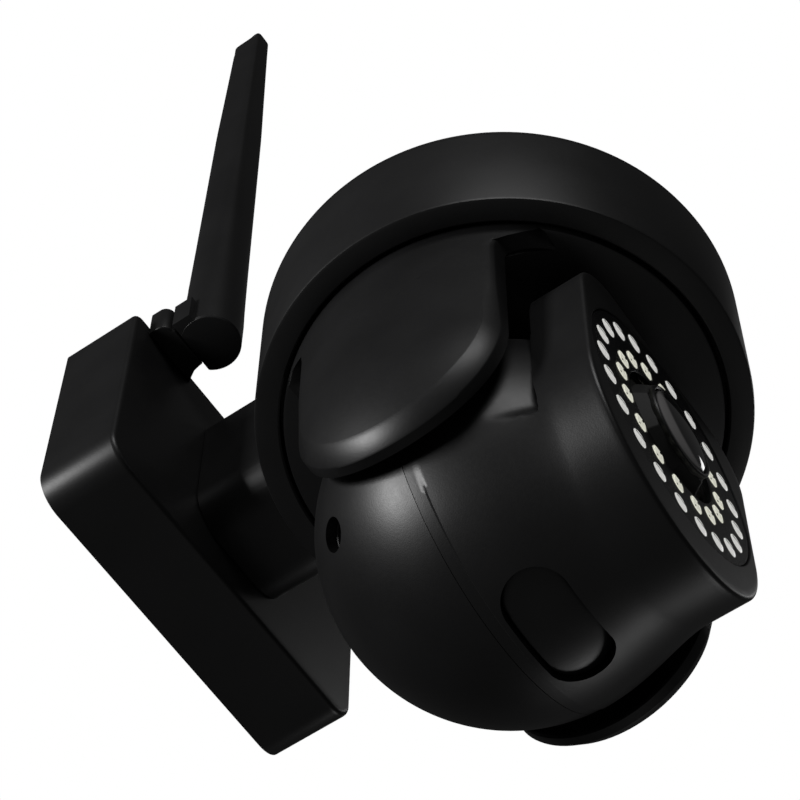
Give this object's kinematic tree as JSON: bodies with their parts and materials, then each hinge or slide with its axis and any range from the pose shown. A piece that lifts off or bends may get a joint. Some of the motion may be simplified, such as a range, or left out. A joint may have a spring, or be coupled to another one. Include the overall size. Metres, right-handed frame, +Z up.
{
  "type": "security camera",
  "caption": "Outdoor pan-and-tilt security camera: a ball with a flat-faced lens snout hangs in a two-cheek yoke under a round cap, held off a wall box with a folding antenna",
  "frame": {"origin": "Centre of the wall box's back face, on the wall plane", "axes": "+Z up along the wall, +Y into the wall so the camera looks along -Y, +X to the camera's left; the wall is the plane Y = 0"},
  "size_m": [0.13, 0.1765, 0.393],
  "materials": {
    "shell": "near-black satin moulded plastic",
    "rubber": "soft black rubber",
    "steel": "zinc-plated steel",
    "aluminium": "plain extruded aluminium",
    "board": "green circuit board",
    "gear": "natural acetal",
    "window": "smoked acrylic, glossy",
    "optics_black": "matt black moulding",
    "emitter": "white and pale yellow light emitters",
    "lens": "coated lens glass"
  },
  "bodies": {
    "mount": {"wall_plate": "steel", "box_shell": "shell", "cable_grommet": "rubber", "power_board": "board", "plate_screw_1": "steel", "plate_screw_2": "steel", "plate_screw_3": "steel", "plate_screw_4": "steel", "neck_bolt_1": "steel", "neck_bolt_2": "steel", "neck": "shell", "cap_base": "shell", "cap_cover": "shell", "cover_screw_1": "steel", "cover_screw_2": "steel", "cover_screw_3": "steel", "main_board": "board", "heat_sink": "aluminium", "antenna_knuckle": "shell", "antenna_pin": "steel", "pan_motor": "steel", "pan_bearing": "gear"},
    "antenna": {"antenna_mast": "shell"},
    "pan_drive": {"pan_pinion": "gear"},
    "yoke": {"yoke_frame": "shell", "pan_gear": "gear", "hub_clip": "steel", "tilt_pin_left": "steel", "tilt_pin_right": "steel", "tilt_gear": "gear"},
    "ball": {"ball_front": "shell", "ball_rear": "shell", "tilt_bush_left": "gear", "tilt_bush_right": "gear", "window": "window", "led_board": "board", "led_ring_outer": "optics_black", "led_ring_inner": "emitter", "lens_hood": "optics_black", "lens_barrel": "optics_black", "lens_front": "lens", "sensor_board": "board", "port_mesh": "optics_black", "speaker": "optics_black", "service_board": "board", "sd_socket": "steel", "reset_switch": "optics_black", "tilt_motor": "steel"},
    "tilt_drive": {"tilt_pinion": "gear"},
    "sd_cover": {"sd_door": "rubber"},
    "card": {"sd_card": "optics_black"},
    "button": {"reset_button": "rubber"}
  },
  "joints": [
    {"name": "antenna_fold", "type": "hinge", "parent": "mount", "child": "antenna", "pos_m": [-0.039, -0.0315, 0.03925], "axis": [0, 1, 0], "range_deg": [-90, 90]},
    {"name": "pan", "type": "hinge", "parent": "mount", "child": "yoke", "pos_m": [0, -0.1115, -0.0605], "axis": [0, 0, 1], "range_deg": [-175, 175]},
    {"name": "pan_pinion_spin", "type": "hinge", "parent": "mount", "child": "pan_drive", "pos_m": [0.03852, -0.1115, -0.021], "axis": [0, 0, 1], "range_deg": [-540, 540]},
    {"name": "tilt", "type": "hinge", "parent": "yoke", "child": "ball", "pos_m": [0, -0.1115, -0.089], "axis": [1, 0, 0], "range_deg": [-15, 80]},
    {"name": "tilt_pinion_spin", "type": "hinge", "parent": "ball", "child": "tilt_drive", "pos_m": [-0.021, -0.08888, -0.089], "axis": [1, 0, 0], "range_deg": [-45, 180]},
    {"name": "cover_swing", "type": "hinge", "parent": "ball", "child": "sd_cover", "pos_m": [-0.015, -0.122, -0.1328], "axis": [0, 1, 0], "range_deg": [0, 95]},
    {"name": "card_slide", "type": "slide", "parent": "ball", "child": "card", "axis": [0, 0, -1], "range_m": [0, 0.009]},
    {"name": "reset_press", "type": "slide", "parent": "ball", "child": "button", "axis": [0, 0, 1], "range_m": [0, 0.0008], "stiffness_N_per_m": 300}
  ],
  "couplings": [
    {"joint": "pan_pinion_spin", "follows": "pan", "ratio": -3},
    {"joint": "tilt_pinion_spin", "follows": "tilt", "ratio": 2}
  ]
}
